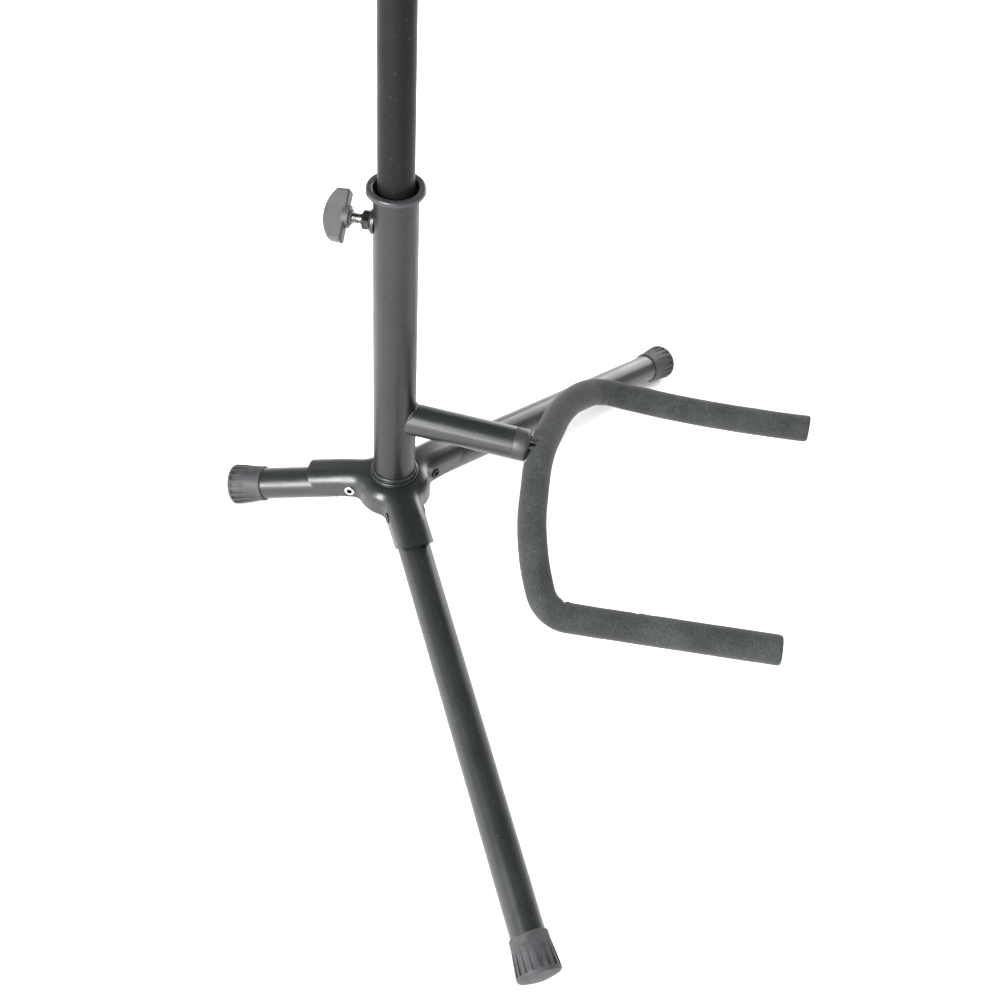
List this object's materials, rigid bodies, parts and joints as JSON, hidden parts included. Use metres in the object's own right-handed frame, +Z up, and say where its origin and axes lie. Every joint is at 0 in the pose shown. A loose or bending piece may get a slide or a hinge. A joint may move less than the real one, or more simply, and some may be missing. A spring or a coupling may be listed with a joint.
{
  "type": "saxophone stand",
  "caption": "Folding saxophone stand with tripod legs, a leaning telescopic column, a padded bell cradle and a padded upper yoke.",
  "frame": {"origin": "on the floor, at the middle of the stand's footprint box", "axes": "+Z up, +Y from the cradle towards the rear leg, +X to the right of a viewer who looks along +Y"},
  "size_m": [0.502, 0.3534, 0.5668],
  "materials": {
    "powder_coat": "satin black powder coat",
    "zinc_steel": "bright zinc plate",
    "nickel_rivet": "bright nickel plate",
    "black_steel": "black oxide",
    "grey_plastic": "moulded, mid grey",
    "black_plastic": "moulded, black",
    "foot_rubber": "moulded, dark grey",
    "foam_cover": "closed-cell charcoal foam",
    "vinyl": "dipped black vinyl"
  },
  "bodies": {
    "base": {"hub_shell": "powder_coat", "leg_rivet_rear": "nickel_rivet", "leg_rivet_left": "black_steel", "leg_rivet_right": "black_steel", "leg_bushes": "black_plastic", "column_base_ring": "powder_coat", "column_plug": "zinc_steel", "hub_washer": "zinc_steel", "hub_spring_washer": "zinc_steel", "hub_bolt": "zinc_steel", "column_tube": "powder_coat", "collar": "grey_plastic", "clamp_boss": "powder_coat", "clamp_nut": "black_steel", "cradle_arm": "powder_coat", "cradle_arm_plug": "black_plastic"},
    "glide": {"mast_glide": "black_plastic"},
    "mast": {"mast_tube": "powder_coat", "mast_cap": "black_plastic", "yoke_arm": "powder_coat", "yoke_arm_plug": "black_plastic"},
    "yoke": {"yoke_pin": "black_steel", "yoke_rod": "zinc_steel", "yoke_rod_caps": "vinyl", "yoke_foam": "foam_cover"},
    "cradle": {"cradle_pin": "black_steel", "cradle_rod": "zinc_steel", "cradle_rod_caps": "vinyl", "cradle_foam": "foam_cover"},
    "pad": {"clamp_pad": "black_plastic"},
    "knob": {"clamp_screw": "zinc_steel", "clamp_knob": "grey_plastic"},
    "leg_rear": {"leg_tube_rear": "powder_coat", "leg_spacer_rear": "zinc_steel", "foot_rear": "foot_rubber"},
    "leg_left": {"leg_tube_left": "powder_coat", "leg_spacer_left": "zinc_steel", "foot_left": "foot_rubber"},
    "leg_right": {"leg_tube_right": "powder_coat", "leg_spacer_right": "zinc_steel", "foot_right": "foot_rubber"}
  },
  "joints": [
    {"name": "mast_slide", "type": "slide", "parent": "base", "child": "glide", "axis": [0, 0.2147, 0.9767], "range_m": [-0.08, 0.058]},
    {"name": "mast_turn", "type": "hinge", "parent": "glide", "child": "mast", "pos_m": [0, 0.12368, 0.35372], "axis": [0, 0.2147, 0.9767], "continuous": true},
    {"name": "knob_turn", "type": "hinge", "parent": "pad", "child": "knob", "pos_m": [0, 0.13293, 0.24213], "axis": [0, 0.9767, -0.2147], "range_deg": [0, 1080]},
    {"name": "pad_slide", "type": "slide", "parent": "base", "child": "pad", "axis": [0, 0.9767, -0.2147], "range_m": [0, 0.003]},
    {"name": "cradle_swivel", "type": "hinge", "parent": "base", "child": "cradle", "pos_m": [0, -0.0064, 0.1243], "axis": [0, -0.99, 0.1409], "range_deg": [-90, 90]},
    {"name": "yoke_swivel", "type": "hinge", "parent": "mast", "child": "yoke", "pos_m": [0, 0.11697, 0.53745], "axis": [0, -0.9767, 0.2147], "range_deg": [-90, 90]},
    {"name": "leg_fold_rear", "type": "hinge", "parent": "base", "child": "leg_rear", "pos_m": [0, 0.08267, 0.05051], "axis": [-1, 0, 0], "range_deg": [0, 73.9]},
    {"name": "leg_fold_left", "type": "hinge", "parent": "base", "child": "leg_left", "pos_m": [-0.0217, 0.04596, 0.05858], "axis": [0.5, -0.8458, 0.186], "range_deg": [0, 73.9]},
    {"name": "leg_fold_right", "type": "hinge", "parent": "base", "child": "leg_right", "pos_m": [0.0217, 0.04596, 0.05858], "axis": [0.5, 0.8458, -0.186], "range_deg": [0, 73.9]}
  ],
  "couplings": [
    {"joint": "pad_slide", "follows": "knob_turn", "m_per_rad": 0.00015915}
  ]
}
